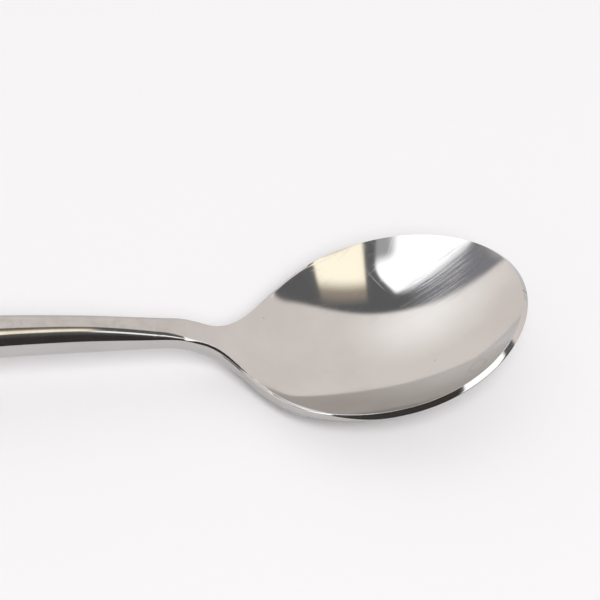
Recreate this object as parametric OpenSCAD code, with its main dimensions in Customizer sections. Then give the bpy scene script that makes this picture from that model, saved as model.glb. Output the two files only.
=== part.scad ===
// Teaspoon: an oval dished bowl, a bent neck and a rounded arched handle with a flat round tail.
// It lies as on a table: the underside of the bowl and of the tail rest on z = 0.
// +X runs along the spoon from the tail to the tip of the bowl, and it is symmetric about y = 0.

/* [Overall] */
// Length from the tail to the tip of the bowl
total_length = 138; // [125:1:150]
// Depth of the worn flats that the bowl and the tail rest on
rest_flat = 0.12; // [0.05:0.01:0.2]

/* [Bowl] */
// Width of the bowl between the inner lines of its rim
bowl_width = 32; // [27:0.1:35]
// Distance from the widest line of the bowl forward to its tip
bowl_tip = 18.3; // [16:0.1:21]
// Distance from the widest line of the bowl back to the neck
bowl_back = 25.3; // [22:0.1:26.5]
// Depth of the dish below the rim
bowl_depth = 5.8; // [4.5:0.1:8]
// Thickness of the metal under the dish
bowl_floor = 1.2; // [0.9:0.05:1.8]
// Rise of the rim from the widest line to the tip, as a straight slope
rim_rise = 3.8; // [2:0.1:5]
// Extra upward curl of the rim at the tip
rim_curl = 0.9; // [0:0.1:2]
// How far the edge face of the rim stands out past its inner line
edge_out = 0.66; // [0.4:0.02:1]
// Height over which that face slopes down to its outer line
edge_face = 0.64; // [0.4:0.02:0.7]
// Height of the whole edge round the front of the bowl
edge_drop = 0.78; // [0.7:0.02:1]
// How far the edge face stands out at the shoulders, where it narrows to a line
shoulder_out = 0.2; // [0.1:0.02:0.4]
// Height of the edge face at the shoulders
shoulder_face = 0.12; // [0.1:0.02:0.4]
// Height of the whole edge at the shoulders, where the metal is thicker
shoulder_drop = 2.05; // [0.8:0.05:2.5]

/* [Neck] */
// Width of the neck at its narrowest
neck_width = 4.3; // [3.6:0.1:5.5]
// Thickness of the neck where the handle starts
neck_thick = 4.3; // [3:0.1:5]
// Distance back from the widest line of the bowl to the end of the neck bend
neck_end = 30.5; // [30:0.5:35]
// Distance back from the widest line to where the rim starts to climb into the neck
neck_start = 13.2; // [10:0.1:15]
// Extra metal under the root of the bowl, where it runs into the neck
neck_root = 1.7; // [0:0.1:2]
// Distance over which that extra metal fades out
root_fade = 5; // [4:0.5:8]
// Height of the handle's middle above the rim level at the end of the neck bend
neck_height = 0.6; // [0:0.1:3]
// Distances back from the widest line to where the handle's crown starts and to where it is full
crown_start = 15; // [12:0.5:20]
crown_full = 45; // [38:0.5:52]

/* [Handle] */
// Width of the handle at the tail, before its end rounds off
tail_width = 11.4; // [8:0.1:13]
// Thickness of the handle at the tail
tail_thick = 2.8; // [2:0.1:4]
// Extra thickness where the handle is fullest
handle_swell = 1.6; // [0:0.1:2.5]
// Rise that the handle starts out with, carried on over its length
handle_rise = 5.1; // [3:0.1:8]
// Length of the round end of the tail
tail_round = 5.2; // [4:0.2:8]
// Height of the flat band along each side of the handle
side_band = 0.9; // [0.4:0.1:1.4]
// How far that band bulges out
side_bulge = 0.1; // [0.05:0.01:0.2]

/* [Hidden] */

// Facets of the lofted surface
across_steps = 20;
tip_steps = 18;
back_steps = 12;
neck_steps = 14;
handle_steps = 16;
tail_steps = 14;

// Turn, in degrees, at which the round ends of bowl and tail close with a narrow face
end_turn = 88;
// Powers that shape the shoulders of the bowl and the hollow curve by which they reach the neck
shoulder_power = 0.9;
hollow_power = 1.8;
hollow_order = 5;
// Power that moves the fullest part of the handle towards the neck
swell_power = 0.7;
// Powers of a section's underside: a shallow arc under the bowl, a half ellipse under the handle
bowl_arc_power = 1;
handle_arc_power = 0.5;
// Power of the handle's crown, which is slightly more peaked than a half ellipse
crown_power = 1.2;
// Where the edge reaches its full height, as a share of the shoulder's length
shoulder_full_share = 0.75;
// Where the edge face has narrowed to a line, as a share of the shoulder's length
face_fade_share = 0.5;
// How fast the dish grows shallower behind the widest line, as a share of its fall at the tip
dish_fall_share = 0.54;
// How far the foot of an edge stands out, as a share of the reach of its outer line
edge_foot_share = 0.8;
// Height of the outermost line of the handle's side band, as a share of the band's height
band_crest_share = 0.45;
// Where the bowl ends and the neck starts, as a share of the shoulder's length
bowl_cut_share = 0.86;
// Where the tail section starts, as a share of the handle's length behind the neck
tail_cut_share = 0.72;
// Least thickness of the tail's rim, as a share of the tail's thickness
tail_rim_share = 0.35;

bowl_half = bowl_width / 2;
neck_half = neck_width / 2 - side_bulge;
tail_half = tail_width / 2 - side_bulge;
tip_x = bowl_tip + edge_out;
tail_x = tip_x - total_length + side_bulge;
handle_length = -neck_end - tail_x;
bowl_cut = -bowl_cut_share * bowl_back;
tail_cut = -neck_end - tail_cut_share * handle_length;
tail_round_x = tail_x + tail_round;
middle_x = tip_x - total_length / 2;

function clamp(value) = max(0, min(1, value));
function smooth(value) = let (t = clamp(value)) pow(t, 3) * (10 - 15 * t + 6 * t * t);
function mix(a, b, share) = a + (b - a) * share;

// Share of the way through the neck bend, and along the handle behind it
function bend(x) = smooth((-x - neck_start) / (neck_end - neck_start));
function along(x) = clamp((-x - neck_end) / handle_length);

// Half-width of the bowl behind its widest line
function shoulder(x) =
    let (t = clamp(-x / bowl_back))
    mix(neck_half, bowl_half, pow(1 - t * t, shoulder_power) * pow(1 - pow(t, hollow_order), hollow_power));

// Height of the rim
function rim_z(x) = rim_rise * x / bowl_tip + rim_curl * pow(max(0, x) / bowl_tip, 3);

// Half the handle's width, half its thickness and the height of its middle
function handle_half(x) = mix(neck_half, tail_half, along(x));
function handle_half_thick(x) =
    let (t = along(x))
    mix(neck_thick, tail_thick, t) / 2 + handle_swell / 2 * pow(sin(180 * pow(t, swell_power)), 2);
function arch(t) = pow(t, 4) * (5 - 4 * t);
function handle_z(x) =
    let (t = (-x - neck_end) / handle_length)
    neck_height + handle_rise * t - handle_drop * arch(clamp(t));

// Lowest line under the bowl, and the drop of the arch that lays the tail as low
bowl_low = min([for (i = [0 : back_steps]) let (x = bowl_cut * i / back_steps) under_bowl(x)]);
table_z = bowl_low + rest_flat;
handle_drop = neck_height + handle_rise - tail_thick / 2 - bowl_low;
function under_bowl(x) = rim_z(x) - dish(x) - bowl_floor - root(x);

// Depth of the dish on its middle line, and the extra metal under its root
function dish(x) =
    let (t = pow(x / bowl_tip, 2))
    bowl_depth * (x > 0 ? 1 - t : pow(max(0, 1 - dish_fall_share * t), 2));
function root(x) = neck_root * exp(-pow((x - bowl_cut) / root_fade, 2));

// One closed section. Its upper face spans half at x, and its lower one stands out past it at the edge.
function section(half, x, z, crown, hollow, out, out_x, crest_drop, drop, belly, power) =
    let (
        turns = [for (i = [0 : across_steps]) 180 * i / across_steps],
        foot_half = half + out * edge_foot_share,
        foot_x = x + out_x * edge_foot_share,
        upper = [for (a = turns)
            [x, -half * cos(a), z + crown * pow(sin(a), crown_power) - hollow * pow(sin(a), 2)]],
        lower = [for (a = turns)
            [foot_x, foot_half * cos(a), z - drop - belly * pow(sin(a), 2 * power)]],
        crest = [x + out_x, half + out, z - crest_drop]
    )
    [for (p = concat(upper, [crest], lower, [[crest.x, -crest.y, crest.z]])) seat(p)];

// Moves a point into the part's frame and flattens what would lie below the table
function seat(p) = [p.x - middle_x, p.y, max(0, p.z - table_z)];

// Section round the front of the bowl, at a turn from its widest line to its tip
function tip_section(turn) =
    let (x = bowl_tip * sin(turn), half = bowl_half * cos(turn), hollow = dish(x))
    section(half, x, rim_z(x), 0, hollow, edge_out * cos(turn), edge_out * sin(turn), edge_face, edge_drop,
        hollow + (bowl_floor - edge_drop) * cos(turn) + root(x), bowl_arc_power);

// Section behind the widest line of the bowl, through the neck and along the handle
function back_section(x) =
    let (
        blend = bend(x),
        fade = smooth(-x / (bowl_back * face_fade_share)),
        thick = handle_half_thick(x) - side_band / 2,
        crown = thick * smooth((-x - crown_start) / (crown_full - crown_start)),
        half = x > -bowl_back ? shoulder(x) : handle_half(x),
        hollow = dish(x) * (1 - blend),
        height = mix(rim_z(x), handle_z(x) + side_band / 2, blend),
        front_drop = mix(edge_drop, shoulder_drop, smooth(-x / (bowl_back * shoulder_full_share))),
        out = mix(mix(edge_out, shoulder_out, fade), side_bulge, blend),
        crest_drop = mix(mix(edge_face, shoulder_face, fade), side_band * band_crest_share, blend),
        belly = mix(hollow + bowl_floor - edge_drop, thick, blend) + root(x)
    )
    section(half, x, height, crown, hollow, out, 0, crest_drop, mix(front_drop, side_band, blend), belly,
        mix(bowl_arc_power, handle_arc_power, blend));

// Section of the tail's round end, at a turn from where it starts to its last point
function end_section(turn) =
    let (
        x = tail_round_x - tail_round * sin(turn),
        left = mix(tail_rim_share, 1, cos(turn)),
        band = side_band * left,
        thick = handle_half_thick(x) * left - band / 2,
        half = handle_half(x) * cos(turn)
    )
    section(half, x, handle_z(x) + band / 2, thick, 0, side_bulge * cos(turn), -side_bulge * sin(turn),
        band * band_crest_share, band, thick, handle_arc_power);

// Solid through a list of sections that follow each other along the spoon
module loft(sections) {
    count = len(sections[0]);
    last = len(sections) - 1;
    points = [for (ring = sections) each ring];
    sides = [for (i = [0 : last - 1], j = [0 : count - 1])
        let (a = i * count + j, b = i * count + (j + 1) % count)
        each [[a, a + count, b], [b, a + count, b + count]]];
    polyhedron(points, concat(sides, end_face(0, false), end_face(last * count, true)));
}

// Triangles that close a section between its upper and lower faces
function end_face(start, flip) =
    let (
        side = across_steps + 1,
        first = 2 * side + 1,
        bottom = function (j) start + first - 1 - j,
        strip = [for (j = [0 : across_steps - 1])
            each [[start + j, start + j + 1, bottom(j)], [start + j + 1, bottom(j + 1), bottom(j)]]],
        near_edge = [start, bottom(0), start + first],
        far_edge = [start + across_steps, start + side, bottom(across_steps)]
    )
    [for (f = concat(strip, [near_edge, far_edge])) flip ? [f[0], f[2], f[1]] : f];

// Places spaced evenly from one value to another
function spaced(from, to, steps) = [for (i = [0 : steps]) mix(from, to, i / steps)];

module bowl() {
    back = [for (x = spaced(bowl_cut, 0, back_steps)) back_section(x)];
    front = [for (i = [1 : tip_steps]) tip_section(end_turn * i / tip_steps)];
    color("silver") loft(concat(back, front));
}

module neck() {
    color("silver") loft([for (x = spaced(-neck_end, bowl_cut, neck_steps)) back_section(x)]);
}

module handle() {
    color("silver") loft([for (x = spaced(tail_cut, -neck_end, handle_steps)) back_section(x)]);
}

module tail() {
    end = [for (i = [tail_steps : -1 : 1]) end_section(end_turn * i / tail_steps)];
    straight = [for (x = spaced(tail_round_x, tail_cut, tail_steps)) back_section(x)];
    color("silver") loft(concat(end, straight));
}

bowl();
neck();
handle();
tail();
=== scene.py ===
import math

import bpy
import numpy as np
from mathutils import Matrix, Vector


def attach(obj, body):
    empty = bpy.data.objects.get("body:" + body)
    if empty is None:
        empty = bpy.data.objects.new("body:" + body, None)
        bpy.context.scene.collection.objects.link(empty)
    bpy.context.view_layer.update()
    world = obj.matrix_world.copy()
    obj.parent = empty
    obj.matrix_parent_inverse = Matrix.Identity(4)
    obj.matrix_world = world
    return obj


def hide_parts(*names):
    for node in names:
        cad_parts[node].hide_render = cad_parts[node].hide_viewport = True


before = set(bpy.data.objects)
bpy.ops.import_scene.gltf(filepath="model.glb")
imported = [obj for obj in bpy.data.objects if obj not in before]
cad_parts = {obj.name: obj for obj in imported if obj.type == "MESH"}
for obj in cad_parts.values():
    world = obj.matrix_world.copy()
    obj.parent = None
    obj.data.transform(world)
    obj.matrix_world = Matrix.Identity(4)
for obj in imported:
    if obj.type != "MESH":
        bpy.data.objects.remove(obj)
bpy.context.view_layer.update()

MM = 0.001

# Sizes of the spoon in millimetres, as in the part's source
TOTAL_LENGTH = 138.0
REST_FLAT = 0.12
BOWL_WIDTH = 32.0
BOWL_TIP = 18.3
BOWL_BACK = 25.3
BOWL_DEPTH = 5.8
BOWL_FLOOR = 1.2
RIM_RISE = 3.8
RIM_CURL = 0.9
EDGE_OUT = 0.66
EDGE_FACE = 0.64
EDGE_DROP = 0.78
SHOULDER_OUT = 0.2
SHOULDER_FACE = 0.12
SHOULDER_DROP = 2.05
NECK_WIDTH = 4.3
NECK_THICK = 4.3
NECK_END = 30.5
NECK_START = 13.2
NECK_ROOT = 1.7
ROOT_FADE = 5.0
NECK_HEIGHT = 0.6
CROWN_START = 15.0
CROWN_FULL = 45.0
TAIL_WIDTH = 11.4
TAIL_THICK = 2.8
HANDLE_SWELL = 1.6
HANDLE_RISE = 5.1
TAIL_ROUND = 5.2
SIDE_BAND = 0.9
SIDE_BULGE = 0.1
# Half widths of the upper face
BOWL_HALF = BOWL_WIDTH / 2
NECK_HALF = NECK_WIDTH / 2 - SIDE_BULGE
TAIL_HALF = TAIL_WIDTH / 2 - SIDE_BULGE

# Shares and powers that shape its curves
SHOULDER_POWER = 0.9
HOLLOW_POWER = 1.8
HOLLOW_ORDER = 5
SWELL_POWER = 0.7
BOWL_ARC_POWER = 1.0
HANDLE_ARC_POWER = 0.5
CROWN_POWER = 1.2
SHOULDER_FULL_SHARE = 0.75
DISH_FALL_SHARE = 0.54
FACE_FADE_SHARE = 0.5
EDGE_FOOT_SHARE = 0.8
BAND_CREST_SHARE = 0.45
BOWL_CUT_SHARE = 0.86
TAIL_CUT_SHARE = 0.72
TAIL_RIM_SHARE = 0.35
# Width of the rounding at the top of the edge face, the share of the face that turns under at the crest,
# and the least share that stays flat
EDGE_TOP = 0.08
EDGE_ROUND_SHARE = 0.2
EDGE_FLAT_SHARE = 0.1
# Broken upper edge from the bowl's shoulder through the neck: its width and fall, its ends along the spoon,
# the share of its fall on the shoulder, and the power of its curve
BREAK_WIDTH = 0.28
BREAK_FALL = 0.36
BREAK_START = 7.5
BREAK_START_FADE = 6.0
BREAK_NECK = 15.0
BREAK_END = 29.0
BREAK_FADE = 5.0
BREAK_SHOULDER_SHARE = 0.5
BREAK_POWER = 1.25

# Places along the spoon, from the widest line of the bowl
TIP_X = BOWL_TIP + EDGE_OUT
TAIL_X = TIP_X - TOTAL_LENGTH + SIDE_BULGE
HANDLE_LENGTH = -NECK_END - TAIL_X
BOWL_CUT = -BOWL_CUT_SHARE * BOWL_BACK
TAIL_CUT = -NECK_END - TAIL_CUT_SHARE * HANDLE_LENGTH
TAIL_ROUND_X = TAIL_X + TAIL_ROUND
MIDDLE_X = TIP_X - TOTAL_LENGTH / 2

# Fineness of the meshes
ACROSS_STEPS = 96
FACE_STEPS = 6
ROUND_STEPS = 4
EDGE_POINTS = FACE_STEPS + ROUND_STEPS
TIP_STEPS = 90
BACK_STEPS = 90
NECK_STEPS = 64
HANDLE_STEPS = 140
TAIL_STEPS = 50
END_STEPS = 50
# Last turn at the tip and the tail, just short of a right angle so that their end rings keep a width
END_TURN = math.radians(89.99)


def clamp(value):
    return min(1.0, max(0.0, value))


def smooth(value):
    t = clamp(value)
    return t ** 3 * (10 - 15 * t + 6 * t * t)


def mix(a, b, share):
    return a + (b - a) * share


def bend(x):
    """Share of the way through the neck bend."""
    return smooth((-x - NECK_START) / (NECK_END - NECK_START))


def along(x):
    """Share of the way along the handle behind the neck."""
    return clamp((-x - NECK_END) / HANDLE_LENGTH)


def shoulder(x):
    """Half width of the bowl behind its widest line."""
    t = clamp(-x / BOWL_BACK)
    full = (1 - t * t) ** SHOULDER_POWER * (1 - t ** HOLLOW_ORDER) ** HOLLOW_POWER
    return mix(NECK_HALF, BOWL_HALF, full)


def rim_z(x):
    """Height of the bowl's rim."""
    return RIM_RISE * x / BOWL_TIP + RIM_CURL * (max(0.0, x) / BOWL_TIP) ** 3


def dish(x):
    """Depth of the bowl's hollow along its middle line."""
    t = (x / BOWL_TIP) ** 2
    return BOWL_DEPTH * (1 - t if x > 0 else max(0.0, 1 - DISH_FALL_SHARE * t) ** 2)


def root(x):
    """Extra thickness of the neck's root under the bowl."""
    return NECK_ROOT * math.exp(-((x - BOWL_CUT) / ROOT_FADE) ** 2)


def under_bowl(x):
    """Height of the bowl's lower face along its middle line."""
    return rim_z(x) - dish(x) - BOWL_FLOOR - root(x)


# Lowest height under the bowl, height of the table at the worn flats, and how far the handle comes down
LOW_STEPS = 12
BOWL_LOW = min(under_bowl(BOWL_CUT * i / LOW_STEPS) for i in range(LOW_STEPS + 1))
TABLE_Z = BOWL_LOW + REST_FLAT
HANDLE_DROP = NECK_HEIGHT + HANDLE_RISE - TAIL_THICK / 2 - BOWL_LOW


def handle_half_thick(x):
    t = along(x)
    swell = math.sin(math.pi * t ** SWELL_POWER) ** 2
    return mix(NECK_THICK, TAIL_THICK, t) / 2 + HANDLE_SWELL / 2 * swell


def handle_half(x):
    return mix(NECK_HALF, TAIL_HALF, along(x))


def handle_z(x):
    t = (-x - NECK_END) / HANDLE_LENGTH
    held = clamp(t)
    return NECK_HEIGHT + HANDLE_RISE * t - HANDLE_DROP * held ** 4 * (5 - 4 * held)


def edge_break(x):
    """Share of the broken edge's fall at a place along the spoon."""
    fall = mix(BREAK_SHOULDER_SHARE, 1.0, smooth((-x - BREAK_NECK) / BREAK_FADE))
    return fall * smooth((-x - BREAK_START) / BREAK_START_FADE) * smooth((BREAK_END + x) / BREAK_FADE)


def edge_curve(top, crest, foot):
    """Points down the edge of a section: a flat face, and a rounding where it turns under at the crest."""
    length = np.linalg.norm(crest - top)
    face_end = 1 - EDGE_ROUND_SHARE
    face_start = min(EDGE_TOP / max(length, EDGE_TOP), face_end - EDGE_FLAT_SHARE)
    along_face = np.linspace(face_start, face_end, FACE_STEPS)[:, None]
    face = top + (crest - top) * along_face
    t = np.linspace(0, 1, ROUND_STEPS + 1)[1:, None]
    turned = crest + (foot - crest) * EDGE_ROUND_SHARE
    rounding = face[-1] * (1 - t) ** 2 + crest * 2 * t * (1 - t) + turned * t * t
    return np.concatenate([face, rounding])


def section(half, x, z, crown, hollow, out, out_x, crest_drop, drop, belly, power):
    """One closed ring of points: upper face, edge at +Y, lower face, edge at -Y."""
    turn = np.linspace(0, math.pi, ACROSS_STEPS + 1)
    rise = np.sin(turn).clip(0)
    one = np.ones_like(turn)
    upper = np.stack([x * one, -half * np.cos(turn), z + crown * rise ** CROWN_POWER - hollow * rise ** 2], 1)
    fall = BREAK_FALL * edge_break(x)
    inward = (half - abs(upper[:, 1])) / BREAK_WIDTH
    upper[:, 2] -= fall * (1 - inward).clip(0) ** BREAK_POWER
    foot = np.array([x + out_x * EDGE_FOOT_SHARE, half + out * EDGE_FOOT_SHARE, z - drop])
    lower = np.stack([foot[0] * one, foot[1] * np.cos(turn), foot[2] - belly * rise ** (2 * power)], 1)
    crest = np.array([x + out_x, half + out, z - crest_drop - fall])
    right = edge_curve(upper[-1], crest, foot)
    left = right[::-1] * (1, -1, 1)
    ring = np.concatenate([upper, right, lower, left])
    ring[:, 0] -= MIDDLE_X
    ring[:, 2] = (ring[:, 2] - TABLE_Z).clip(0)
    return ring * MM


def tip_section(turn):
    """Section round the front of the bowl, at a turn from its widest line to its tip."""
    x = BOWL_TIP * math.sin(turn)
    fade = math.cos(turn)
    hollow = dish(x)
    belly = hollow + (BOWL_FLOOR - EDGE_DROP) * fade + root(x)
    return section(BOWL_HALF * fade, x, rim_z(x), 0.0, hollow, EDGE_OUT * fade, EDGE_OUT * math.sin(turn),
                   EDGE_FACE, EDGE_DROP, belly, BOWL_ARC_POWER)


def back_section(x):
    """Section behind the widest line of the bowl, through the neck and along the handle."""
    blend = bend(x)
    fade = smooth(-x / (BOWL_BACK * FACE_FADE_SHARE))
    thick = handle_half_thick(x) - SIDE_BAND / 2
    crown = thick * smooth((-x - CROWN_START) / (CROWN_FULL - CROWN_START))
    half = shoulder(x) if x > -BOWL_BACK else handle_half(x)
    hollow = dish(x) * (1 - blend)
    front_drop = mix(EDGE_DROP, SHOULDER_DROP, smooth(-x / (BOWL_BACK * SHOULDER_FULL_SHARE)))
    height = mix(rim_z(x), handle_z(x) + SIDE_BAND / 2, blend)
    belly = mix(hollow + BOWL_FLOOR - EDGE_DROP, thick, blend) + root(x)
    out = mix(mix(EDGE_OUT, SHOULDER_OUT, fade), SIDE_BULGE, blend)
    crest_drop = mix(mix(EDGE_FACE, SHOULDER_FACE, fade), SIDE_BAND * BAND_CREST_SHARE, blend)
    return section(half, x, height, crown, hollow, out, 0.0, crest_drop,
                   mix(front_drop, SIDE_BAND, blend), belly, mix(BOWL_ARC_POWER, HANDLE_ARC_POWER, blend))


def end_section(turn):
    """Section of the tail's round end, at a turn from where it starts to its last point."""
    x = TAIL_ROUND_X - TAIL_ROUND * math.sin(turn)
    fade = math.cos(turn)
    thinned = mix(TAIL_RIM_SHARE, 1.0, fade)
    side_band = SIDE_BAND * thinned
    thick = handle_half_thick(x) * thinned - side_band / 2
    return section(handle_half(x) * fade, x, handle_z(x) + side_band / 2, thick, 0.0, SIDE_BULGE * fade,
                   -SIDE_BULGE * math.sin(turn), side_band * BAND_CREST_SHARE, side_band, thick,
                   HANDLE_ARC_POWER)


def spoon_sections():
    """All rings from tail to tip, and the first and last ring of each piece."""
    rings = [end_section(END_TURN * (1 - i / END_STEPS)) for i in range(END_STEPS)]
    spans = {}
    start = 0
    stretches = [("tail", TAIL_ROUND_X, TAIL_CUT, TAIL_STEPS), ("handle", TAIL_CUT, -NECK_END, HANDLE_STEPS),
                 ("neck", -NECK_END, BOWL_CUT, NECK_STEPS), ("bowl", BOWL_CUT, 0.0, BACK_STEPS)]
    for name, low, high, steps in stretches:
        rings += [back_section(mix(low, high, i / steps)) for i in range(steps)]
        spans[name] = (start, len(rings))
        start = len(rings)
    rings += [tip_section(END_TURN * i / TIP_STEPS) for i in range(TIP_STEPS + 1)]
    spans["bowl"] = (spans["bowl"][0], len(rings) - 1)
    return np.array(rings), spans


def loft_faces(count, around):
    """Side faces through the rings, and end faces between the upper and lower halves of a ring."""
    faces = []
    for i in range(count - 1):
        for j in range(around):
            a, b = i * around + j, i * around + (j + 1) % around
            faces.append((a, b, b + around, a + around))
    upper = ACROSS_STEPS + 1
    lower_last = upper + EDGE_POINTS + ACROSS_STEPS
    first_end = [(j, j + 1, lower_last - j - 1, lower_last - j) for j in range(ACROSS_STEPS)]
    first_end.append(tuple(range(ACROSS_STEPS, upper + EDGE_POINTS + 1)))
    first_end.append(tuple(range(lower_last, around)) + (0,))
    last_ring = (count - 1) * around
    last_end = [tuple(last_ring + k for k in reversed(face)) for face in first_end]
    return faces + first_end + last_end


def mesh_of(name, points, normals=None):
    count, around = points.shape[:2]
    mesh = bpy.data.meshes.new(name)
    mesh.from_pydata(points.reshape(-1, 3).tolist(), [], loft_faces(count, around))
    mesh.update()
    mesh.polygons.foreach_set("use_smooth", [True] * len(mesh.polygons))
    if normals is not None:
        mesh.normals_split_custom_set_from_vertices(normals.reshape(-1, 3).tolist())
    return mesh


def vertex_normals(points):
    """Normals of the whole spoon as one surface, so that no seam shows between its pieces."""
    whole = mesh_of("whole", points)
    flat = np.empty(len(whole.vertices) * 3)
    whole.vertex_normals.foreach_get("vector", flat)
    bpy.data.meshes.remove(whole)
    return flat.reshape(points.shape)


# Materials


def link(tree, source, target):
    tree.links.new(source, target)


def node(tree, kind, **settings):
    made = tree.nodes.new(kind)
    for key, value in settings.items():
        setattr(made, key, value)
    return made


def feed(tree, socket, value):
    if hasattr(value, "links"):
        link(tree, value, socket)
    else:
        socket.default_value = value


def math_node(tree, operation, a, b=0.0):
    made = node(tree, "ShaderNodeMath", operation=operation)
    feed(tree, made.inputs[0], a)
    feed(tree, made.inputs[1], b)
    return made.outputs[0]


def product(tree, a, b):
    return math_node(tree, "MULTIPLY", a, b)


def ramp(tree, value, low, high, start=0.0, end=1.0):
    """Smooth step of a value from start at low to end at high."""
    made = node(tree, "ShaderNodeMapRange", interpolation_type="SMOOTHSTEP")
    feed(tree, made.inputs["Value"], value)
    made.inputs["From Min"].default_value = low
    made.inputs["From Max"].default_value = high
    made.inputs["To Min"].default_value = start
    made.inputs["To Max"].default_value = end
    return made.outputs["Result"]


def band(tree, value, low, high, soft):
    """One between low and high, zero outside, with soft limits."""
    rise = ramp(tree, value, low - soft, low + soft)
    fall = ramp(tree, value, high - soft, high + soft, 1.0, 0.0)
    return product(tree, rise, fall)


def colour_mix(tree, share, first, second):
    made = node(tree, "ShaderNodeMix", data_type="RGBA")
    feed(tree, made.inputs["Factor"], share)
    feed(tree, made.inputs["A"], first)
    feed(tree, made.inputs["B"], second)
    return made.outputs["Result"]


def noise(tree, coordinates, scale, detail=2.0, roughness=0.5):
    made = node(tree, "ShaderNodeTexNoise")
    link(tree, coordinates, made.inputs["Vector"])
    made.inputs["Scale"].default_value = scale
    made.inputs["Detail"].default_value = detail
    made.inputs["Roughness"].default_value = roughness
    return made.outputs["Fac"]


def streaks(tree, coordinates, turn, size, detail):
    """Noise drawn out into lines: size is the length, width and height of its grains in metres."""
    made = node(tree, "ShaderNodeMapping", vector_type="TEXTURE")
    link(tree, coordinates, made.inputs["Vector"])
    made.inputs["Rotation"].default_value = (0.0, 0.0, math.radians(turn))
    made.inputs["Scale"].default_value = size
    return noise(tree, made.outputs["Vector"], 1.0, detail, STREAK_ROUGHNESS)


def distance(tree, coordinates, place):
    made = node(tree, "ShaderNodeVectorMath", operation="DISTANCE")
    link(tree, coordinates, made.inputs[0])
    made.inputs[1].default_value = place
    return made.outputs["Value"]


def cells(tree, coordinates, scale):
    """Distance to the middle of the nearest scattered cell, and a random share for each cell."""
    made = node(tree, "ShaderNodeTexVoronoi")
    link(tree, coordinates, made.inputs["Vector"])
    made.inputs["Scale"].default_value = scale
    parts = node(tree, "ShaderNodeSeparateColor")
    link(tree, made.outputs["Color"], parts.inputs["Color"])
    return made.outputs["Distance"], parts.outputs[0]


# Finish of the steel. A range holds the values at which a change starts and ends.
STEEL = (0.55, 0.54, 0.53, 1)
STEEL_EDGE = (0.85, 0.85, 0.85, 1)
# Smudges, which dull and roughen it
STEEL_SMUDGED = (0.515, 0.502, 0.489, 1)
SMUDGE_SCALE = 95.0
SMUDGE_DETAIL = 3.0
SMUDGE_ROUGHNESS = 0.55
SMUDGE_COLOUR_RANGE = (0.35, 0.7)
SMUDGE_ROUGH_RANGE = (0.3, 0.75)
ROUGH_CLEAN = 0.06
ROUGH_SMUDGED = 0.11
# Mottled painted shade on the handle's top: its range along X in metres, and the range of upward facing it
# covers
STEEL_TOP_SHADE = (0.43, 0.415, 0.4, 1)
TOP_SHADE_RANGE = (0.032, 0.014)
TOP_SHADE_FACING_RANGE = (0.1, 0.6)
MOTTLE_SCALE = 420.0
MOTTLE_DETAIL = 4.0
MOTTLE_ROUGHNESS = 0.6
MOTTLE_RANGE = (0.35, 0.68)
MOTTLE_LEAST = 0.45
# Dried drops, whose rims have two limits and a softness, and small specks
STEEL_SPOT = (0.4, 0.385, 0.37, 1)
DROP_SCALE = 130.0
DROP_RIM = (0.2, 0.25, 0.035)
DROP_CHANCE_RANGE = (0.72, 0.9)
DROP_STRENGTH = 0.35
DROP_UNEVEN = 0.12
DROP_UNEVEN_SCALE = 900.0
SPECK_SCALE = 480.0
SPECK_RANGE = (0.12, 0.06)
SPECK_CHANCE_RANGE = (0.9, 0.97)
SPECK_STRENGTH = 0.8
# Fine scratches
STREAK_ROUGHNESS = 0.45
SCRATCH_SIZE = (0.005, 0.00013, 0.03)
SCRATCH_TURNS = (35.0, 12.0, 62.0, 128.0)
SCRATCH_DETAIL = 1.0
SCRATCH_RANGE = (0.68, 0.82)
SCRATCH_ROUGH = 0.1
SCRATCH_BUMP = 0.05
SCRATCH_DEPTH = 0.00002
# Patch on the far side of the bowl that stirring has worn
WORN_PLACE = (0.0575, 0.01, 0.0075)
WORN_REACH_RANGE = (0.008, 0.002)
WORN_SIZE = (0.005, 0.00024, 0.03)
WORN_TURN = 14.0
WORN_DETAIL = 3.0
WORN_RANGE = (0.2, 0.8)
WORN_ROUGH = 0.23


def scratch_marks(tree, place):
    """Fine lines in several directions."""
    marks = 0.0
    for turn in SCRATCH_TURNS:
        lines = streaks(tree, place, turn, SCRATCH_SIZE, SCRATCH_DETAIL)
        marks = math_node(tree, "MAXIMUM", marks, ramp(tree, lines, *SCRATCH_RANGE))
    return marks


def worn_marks(tree, place):
    """Lines of the worn patch, which fade out round it."""
    share = ramp(tree, distance(tree, place, WORN_PLACE), *WORN_REACH_RANGE)
    lines = streaks(tree, place, WORN_TURN, WORN_SIZE, WORN_DETAIL)
    return product(tree, share, ramp(tree, lines, *WORN_RANGE))


def water_spots(tree, place):
    """Rims of a few dried drops, and sparse small specks."""
    uneven = product(tree, noise(tree, place, DROP_UNEVEN_SCALE), DROP_UNEVEN)
    from_drop, drop_chance = cells(tree, place, DROP_SCALE)
    rim = band(tree, math_node(tree, "ADD", from_drop, uneven), *DROP_RIM)
    drops = product(tree, rim, ramp(tree, drop_chance, *DROP_CHANCE_RANGE))
    drops = product(tree, drops, DROP_STRENGTH)
    from_speck, speck_chance = cells(tree, place, SPECK_SCALE)
    specks = ramp(tree, from_speck, *SPECK_RANGE)
    specks = product(tree, specks, ramp(tree, speck_chance, *SPECK_CHANCE_RANGE))
    specks = product(tree, specks, SPECK_STRENGTH)
    return math_node(tree, "MAXIMUM", drops, specks)


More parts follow.
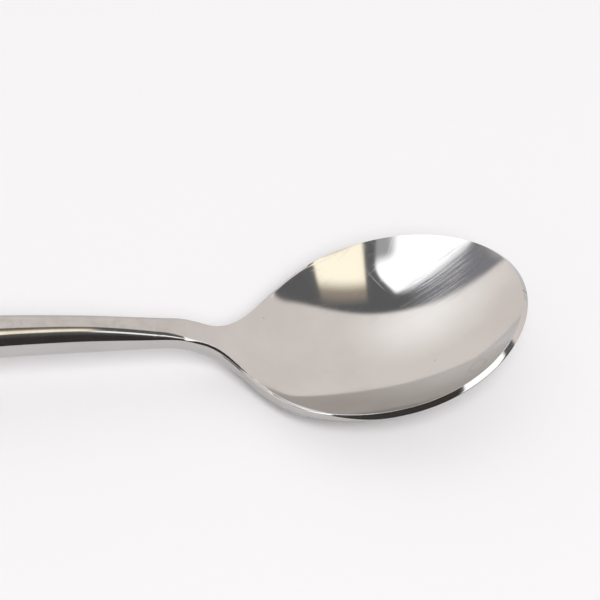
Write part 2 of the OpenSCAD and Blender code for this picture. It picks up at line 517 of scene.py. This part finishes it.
def top_shade_share(tree, place):
    """Share of the mottled painted shade that darkens the upward-facing top of the handle."""
    parts = node(tree, "ShaderNodeSeparateXYZ")
    link(tree, place, parts.inputs[0])
    facing = node(tree, "ShaderNodeSeparateXYZ")
    link(tree, node(tree, "ShaderNodeNewGeometry").outputs["Normal"], facing.inputs[0])
    share = ramp(tree, parts.outputs["X"], *TOP_SHADE_RANGE)
    share = product(tree, share, ramp(tree, facing.outputs["Z"], *TOP_SHADE_FACING_RANGE))
    mottle = noise(tree, place, MOTTLE_SCALE, MOTTLE_DETAIL, MOTTLE_ROUGHNESS)
    return product(tree, share, ramp(tree, mottle, *MOTTLE_RANGE, MOTTLE_LEAST))


def steel():
    """Polished stainless steel with scratches, a worn patch, smudges, dried spots and painted shade on the
    handle top.
    """
    material = bpy.data.materials.new("polished_steel")
    material.use_nodes = True
    tree = material.node_tree
    shader = tree.nodes["Principled BSDF"]
    place = node(tree, "ShaderNodeTexCoord").outputs["Object"]
    shader.inputs["Metallic"].default_value = 1.0
    shader.inputs["Specular Tint"].default_value = STEEL_EDGE
    smudge = noise(tree, place, SMUDGE_SCALE, SMUDGE_DETAIL, SMUDGE_ROUGHNESS)
    base = colour_mix(tree, ramp(tree, smudge, *SMUDGE_COLOUR_RANGE), STEEL, STEEL_SMUDGED)
    # Painted shade: the upward-facing top of the handle is darkened, mottled
    base = colour_mix(tree, top_shade_share(tree, place), base, STEEL_TOP_SHADE)
    base = colour_mix(tree, water_spots(tree, place), base, STEEL_SPOT)
    link(tree, base, shader.inputs["Base Color"])
    scratches = scratch_marks(tree, place)
    rough = ramp(tree, smudge, *SMUDGE_ROUGH_RANGE, ROUGH_CLEAN, ROUGH_SMUDGED)
    rough = math_node(tree, "ADD", rough, product(tree, scratches, SCRATCH_ROUGH))
    rough = math_node(tree, "ADD", rough, product(tree, worn_marks(tree, place), WORN_ROUGH))
    link(tree, rough, shader.inputs["Roughness"])
    bump = node(tree, "ShaderNodeBump")
    bump.inputs["Strength"].default_value = SCRATCH_BUMP
    bump.inputs["Distance"].default_value = SCRATCH_DEPTH
    link(tree, scratches, bump.inputs["Height"])
    link(tree, bump.outputs["Normal"], shader.inputs["Normal"])
    return material


# Pieces

sections, spans = spoon_sections()
normals = vertex_normals(sections)
steel_finish = steel()
for name, (first, last) in spans.items():
    mesh = mesh_of("spoon_" + name, sections[first:last + 1], normals[first:last + 1])
    mesh.materials.append(steel_finish)
    piece = bpy.data.objects.new("spoon_" + name, mesh)
    bpy.context.collection.objects.link(piece)
    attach(piece, "root")
    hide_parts(name)

# Floor
FLOOR_HALF = 4.0
FLOOR_COLOUR = (0.92, 0.905, 0.912, 1)
FLOOR_ROUGHNESS = 0.9
FLOOR_SHINE = 0.1


def floor_paper():
    material = bpy.data.materials.new("pale_floor")
    material.use_nodes = True
    shader = material.node_tree.nodes["Principled BSDF"]
    shader.inputs["Base Color"].default_value = FLOOR_COLOUR
    shader.inputs["Roughness"].default_value = FLOOR_ROUGHNESS
    shader.inputs["Specular IOR Level"].default_value = FLOOR_SHINE
    return material


floor_mesh = bpy.data.meshes.new("floor")
corners = [(x * FLOOR_HALF, y * FLOOR_HALF, 0.0) for x, y in ((-1, -1), (1, -1), (1, 1), (-1, 1))]
floor_mesh.from_pydata(corners, [], [(0, 1, 2, 3)])
floor_mesh.materials.append(floor_paper())
floor = bpy.data.objects.new("floor", floor_mesh)
bpy.context.collection.objects.link(floor)

# Plain pale light from all round, a soft lamp high up on the near right, and a broad weak one on the far
# side, which throws the spoon's faint wide shadow towards the camera
WORLD_LIGHT = (0.46, 0.46, 0.46, 1)
LAMP_PLACE = (0.33, -1.72, 2.2)
LAMP_SIZE = 1.5
LAMP_POWER = 53.0
BROAD_PLACE = (-0.2, 1.7, 1.8)
BROAD_SIZE = 3.6
BROAD_POWER = 9.0


def pale_world():
    """Even light, which rays that show the world itself see as pale as the floor."""
    world = bpy.data.worlds.new("pale")
    bpy.context.scene.world = world
    world.use_nodes = True
    tree = world.node_tree
    rays = node(tree, "ShaderNodeLightPath").outputs
    seen = math_node(tree, "MAXIMUM", rays["Is Camera Ray"], rays["Is Glossy Ray"])
    seen = math_node(tree, "MAXIMUM", seen, rays["Is Transmission Ray"])
    colour = colour_mix(tree, seen, WORLD_LIGHT, FLOOR_COLOUR)
    link(tree, colour, tree.nodes["Background"].inputs["Color"])


def add_lamp(name, place, size, power):
    data = bpy.data.lights.new(name, "AREA")
    data.shape = "DISK"
    data.size = size
    data.energy = power
    lamp = bpy.data.objects.new(name, data)
    lamp.location = place
    lamp.rotation_euler = (-Vector(place)).to_track_quat("-Z", "Y").to_euler()
    lamp.visible_glossy = False
    bpy.context.collection.objects.link(lamp)


pale_world()
add_lamp("soft_lamp", LAMP_PLACE, LAMP_SIZE, LAMP_POWER)
add_lamp("broad_lamp", BROAD_PLACE, BROAD_SIZE, BROAD_POWER)

# Room that the metal mirrors, as colours on a dome. Its far half is a bright wall, brightest high on the
# left. Its near half is dark, with a window on the left, a cream lamp above the camera, and on the right a
# bright door, a bright patch above the door and a bright strip from that patch to the lamp.
# Sides, depths and heights are shares of the dome's radius, and angles rise in degrees from the near horizon.
# A range holds the values at which a change starts and ends, and a band its two limits and their softness.
ROOM_RADIUS = 3.0
ROOM_SEGMENTS = 64
ROOM_RINGS = 24
WALL = (1.09, 1.02, 0.98, 1)
WALL_LOW = (1.11, 1.03, 0.985, 1)
WALL_HEIGHT_RANGE = (0.05, 0.6)
WALL_BRIGHT = (1.52, 1.48, 1.46, 1)
WALL_BRIGHT_PLACE = (-0.53, 0.37, 0.76)
WALL_BRIGHT_RANGE = (0.69, 0.05)
# Where the far half starts: its depth, how far its edge slants, and the side past which it comes round
FAR_DEPTH_RANGE = (0.115, 0.175)
FAR_SLANT = 0.27
FAR_SIDE_RANGE = (-0.84, -0.885)
DARK_LOW = (0.067, 0.061, 0.058, 1)
DARK_HIGH = (0.175, 0.178, 0.185, 1)
DARK_ANGLE_RANGE = (40.0, 64.0)
DARK_LEFT = (0.33, 0.335, 0.37, 1)
DARK_LEFT_SIDE_RANGE = (-0.4, -0.65)
DARK_LEFT_ANGLE_RANGE = (60.0, 80.0)
CREAM = (1.85, 1.72, 1.4, 1)
CREAM_SIDE_BAND = (-0.16, 0.155, 0.012)
CREAM_TILT = 28.0
CREAM_LOW_RANGE = (65.6, 68.1)
CREAM_HIGH_RANGE = (87.0, 78.0)
CREAM_GLOW = (0.49, 0.42, 0.35, 1)
CREAM_GLOW_BAND = (66.0, 91.0, 4.5)
WINDOW = (2.2, 2.22, 2.28, 1)
WINDOW_SIDE_BAND = (-0.8, -0.235, 0.012)
WINDOW_ANGLE_BAND = (58.0, 92.5, 1.2)
WINDOW_SLANT = 0.15
WINDOW_SLANT_RANGE = (74.0, 97.0)
WINDOW_SHADE_SHARE = 0.8
WINDOW_SHADE_SIDE_RANGE = (-0.42, -0.31)
WINDOW_SHADE_ANGLE_RANGE = (76.0, 69.0)
DOOR = (2.1, 2.1, 2.1, 1)
DOOR_SIDE_BAND = (0.42, 0.84, 0.015)
DOOR_ANGLE_BAND = (33.0, 59.0, 1.5)
PATCH_SIDE_BAND = (0.47, 0.8, 0.015)
PATCH_ANGLE_BAND = (64.0, 97.0, 1.5)
STRIP_SIDE_BAND = (0.15, 0.5, 0.015)
STRIP_ANGLE_BAND = (64.0, 73.0, 1.5)
BRIGHT_BANDS = ((DOOR_SIDE_BAND, DOOR_ANGLE_BAND), (PATCH_SIDE_BAND, PATCH_ANGLE_BAND),
                (STRIP_SIDE_BAND, STRIP_ANGLE_BAND))


def room_directions(tree):
    """Direction from the dome's middle, its side, depth and height, and its angle above the near horizon."""
    facing = node(tree, "ShaderNodeVectorMath", operation="NORMALIZE")
    link(tree, node(tree, "ShaderNodeTexCoord").outputs["Object"], facing.inputs[0])
    way = facing.outputs["Vector"]
    parts = node(tree, "ShaderNodeSeparateXYZ")
    link(tree, way, parts.inputs[0])
    side, depth, height = parts.outputs
    turn = math_node(tree, "ARCTAN2", height, product(tree, depth, -1.0))
    angle = product(tree, turn, math.degrees(1.0))
    return way, side, depth, height, angle


def with_cream_lamp(tree, colour, side, angle):
    """Cream lamp with a tilted lower edge, and a faint glow above and below it."""
    across = band(tree, side, *CREAM_SIDE_BAND)
    glow = product(tree, across, band(tree, angle, *CREAM_GLOW_BAND))
    colour = colour_mix(tree, glow, colour, CREAM_GLOW)
    tilted = math_node(tree, "SUBTRACT", angle, product(tree, side, CREAM_TILT))
    upright = product(tree, ramp(tree, tilted, *CREAM_LOW_RANGE), ramp(tree, angle, *CREAM_HIGH_RANGE))
    return colour_mix(tree, product(tree, across, upright), colour, CREAM)


def with_window(tree, colour, side, angle):
    """Window whose sides slant higher up, with its lower right part shaded."""
    slant = math_node(tree, "ADD", side, ramp(tree, angle, *WINDOW_SLANT_RANGE, 0.0, WINDOW_SLANT))
    pane = product(tree, band(tree, slant, *WINDOW_SIDE_BAND), band(tree, angle, *WINDOW_ANGLE_BAND))
    beside = ramp(tree, side, *WINDOW_SHADE_SIDE_RANGE)
    shaded = product(tree, beside, ramp(tree, angle, *WINDOW_SHADE_ANGLE_RANGE))
    clear = math_node(tree, "SUBTRACT", 1.0, product(tree, shaded, WINDOW_SHADE_SHARE))
    return colour_mix(tree, product(tree, pane, clear), colour, WINDOW)


def near_half(tree, side, angle):
    colour = colour_mix(tree, ramp(tree, angle, *DARK_ANGLE_RANGE), DARK_LOW, DARK_HIGH)
    left = product(tree, ramp(tree, side, *DARK_LEFT_SIDE_RANGE), ramp(tree, angle, *DARK_LEFT_ANGLE_RANGE))
    colour = colour_mix(tree, left, colour, DARK_LEFT)
    colour = with_cream_lamp(tree, colour, side, angle)
    colour = with_window(tree, colour, side, angle)
    for side_band, angle_band in BRIGHT_BANDS:
        bright = product(tree, band(tree, side, *side_band), band(tree, angle, *angle_band))
        colour = colour_mix(tree, bright, colour, DOOR)
    return colour


def far_half(tree, way, height):
    colour = colour_mix(tree, ramp(tree, height, *WALL_HEIGHT_RANGE), WALL_LOW, WALL)
    bright = ramp(tree, distance(tree, way, WALL_BRIGHT_PLACE), *WALL_BRIGHT_RANGE)
    return colour_mix(tree, bright, colour, WALL_BRIGHT)


def room_colours():
    material = bpy.data.materials.new("room")
    material.use_nodes = True
    material.cycles.emission_sampling = "NONE"
    tree = material.node_tree
    tree.nodes.clear()
    way, side, depth, height, angle = room_directions(tree)
    near = near_half(tree, side, angle)
    far = far_half(tree, way, height)
    slanted = math_node(tree, "ADD", depth, product(tree, side, FAR_SLANT))
    behind = ramp(tree, slanted, *FAR_DEPTH_RANGE)
    behind = math_node(tree, "MAXIMUM", behind, ramp(tree, side, *FAR_SIDE_RANGE))
    colour = colour_mix(tree, behind, near, far)
    shade = node(tree, "ShaderNodeEmission")
    link(tree, colour, shade.inputs["Color"])
    out = node(tree, "ShaderNodeOutputMaterial")
    link(tree, shade.outputs[0], out.inputs["Surface"])
    return material


def room_dome():
    """Half globe over the spoon, which only mirrored rays see."""
    points = []
    for i in range(ROOM_RINGS + 1):
        rise = math.pi / 2 * i / ROOM_RINGS
        for j in range(ROOM_SEGMENTS):
            turn = 2 * math.pi * j / ROOM_SEGMENTS
            flat = math.cos(rise) * ROOM_RADIUS
            points.append((flat * math.cos(turn), flat * math.sin(turn), math.sin(rise) * ROOM_RADIUS))
    faces = []
    for i in range(ROOM_RINGS):
        for j in range(ROOM_SEGMENTS):
            a, b = i * ROOM_SEGMENTS + j, i * ROOM_SEGMENTS + (j + 1) % ROOM_SEGMENTS
            faces.append((a, a + ROOM_SEGMENTS, b + ROOM_SEGMENTS, b))
    mesh = bpy.data.meshes.new("room")
    mesh.from_pydata(points, [], faces)
    mesh.materials.append(room_colours())
    dome = bpy.data.objects.new("room", mesh)
    dome.visible_camera = False
    dome.visible_diffuse = False
    dome.visible_shadow = False
    bpy.context.collection.objects.link(dome)


room_dome()

# Camera
IMAGE_PIXELS = 600
PIXELS_PER_MM = 7.312
CAMERA_DISTANCE = 343.3 * MM
CAMERA_ELEVATION = math.radians(46.56)
CAMERA_AZIMUTH = math.radians(-2.5)
CAMERA_ROLL = math.radians(-1.53)
# Place of the picture's middle, to the right of and above the middle of the bowl's rim
PICTURE_RIGHT = -12.02 * MM
PICTURE_UP = 2.97 * MM
RIM_MIDDLE = Vector((-MIDDLE_X, 0, -TABLE_Z)) * MM
NEAREST_SEEN = 10 * MM


def add_camera():
    data = bpy.data.cameras.new("camera")
    data.sensor_fit = "HORIZONTAL"
    width = IMAGE_PIXELS / PIXELS_PER_MM * MM
    data.angle = 2 * math.atan(width / 2 / CAMERA_DISTANCE)
    data.clip_start = NEAREST_SEEN
    camera = bpy.data.objects.new("camera", data)
    right = Vector((math.cos(CAMERA_AZIMUTH), math.sin(CAMERA_AZIMUTH), 0))
    level = Vector((math.sin(CAMERA_AZIMUTH), -math.cos(CAMERA_AZIMUTH), 0))
    back = level * math.cos(CAMERA_ELEVATION) + Vector((0, 0, math.sin(CAMERA_ELEVATION)))
    up = back.cross(right)
    turned_right = right * math.cos(CAMERA_ROLL) + up * math.sin(CAMERA_ROLL)
    turned_up = up * math.cos(CAMERA_ROLL) - right * math.sin(CAMERA_ROLL)
    turn = Matrix((turned_right, turned_up, back)).transposed().to_4x4()
    target = RIM_MIDDLE + turned_right * PICTURE_RIGHT + turned_up * PICTURE_UP
    camera.matrix_world = Matrix.Translation(target + back * CAMERA_DISTANCE) @ turn
    bpy.context.collection.objects.link(camera)
    bpy.context.scene.camera = camera


add_camera()
bpy.context.scene.view_settings.view_transform = "Standard"
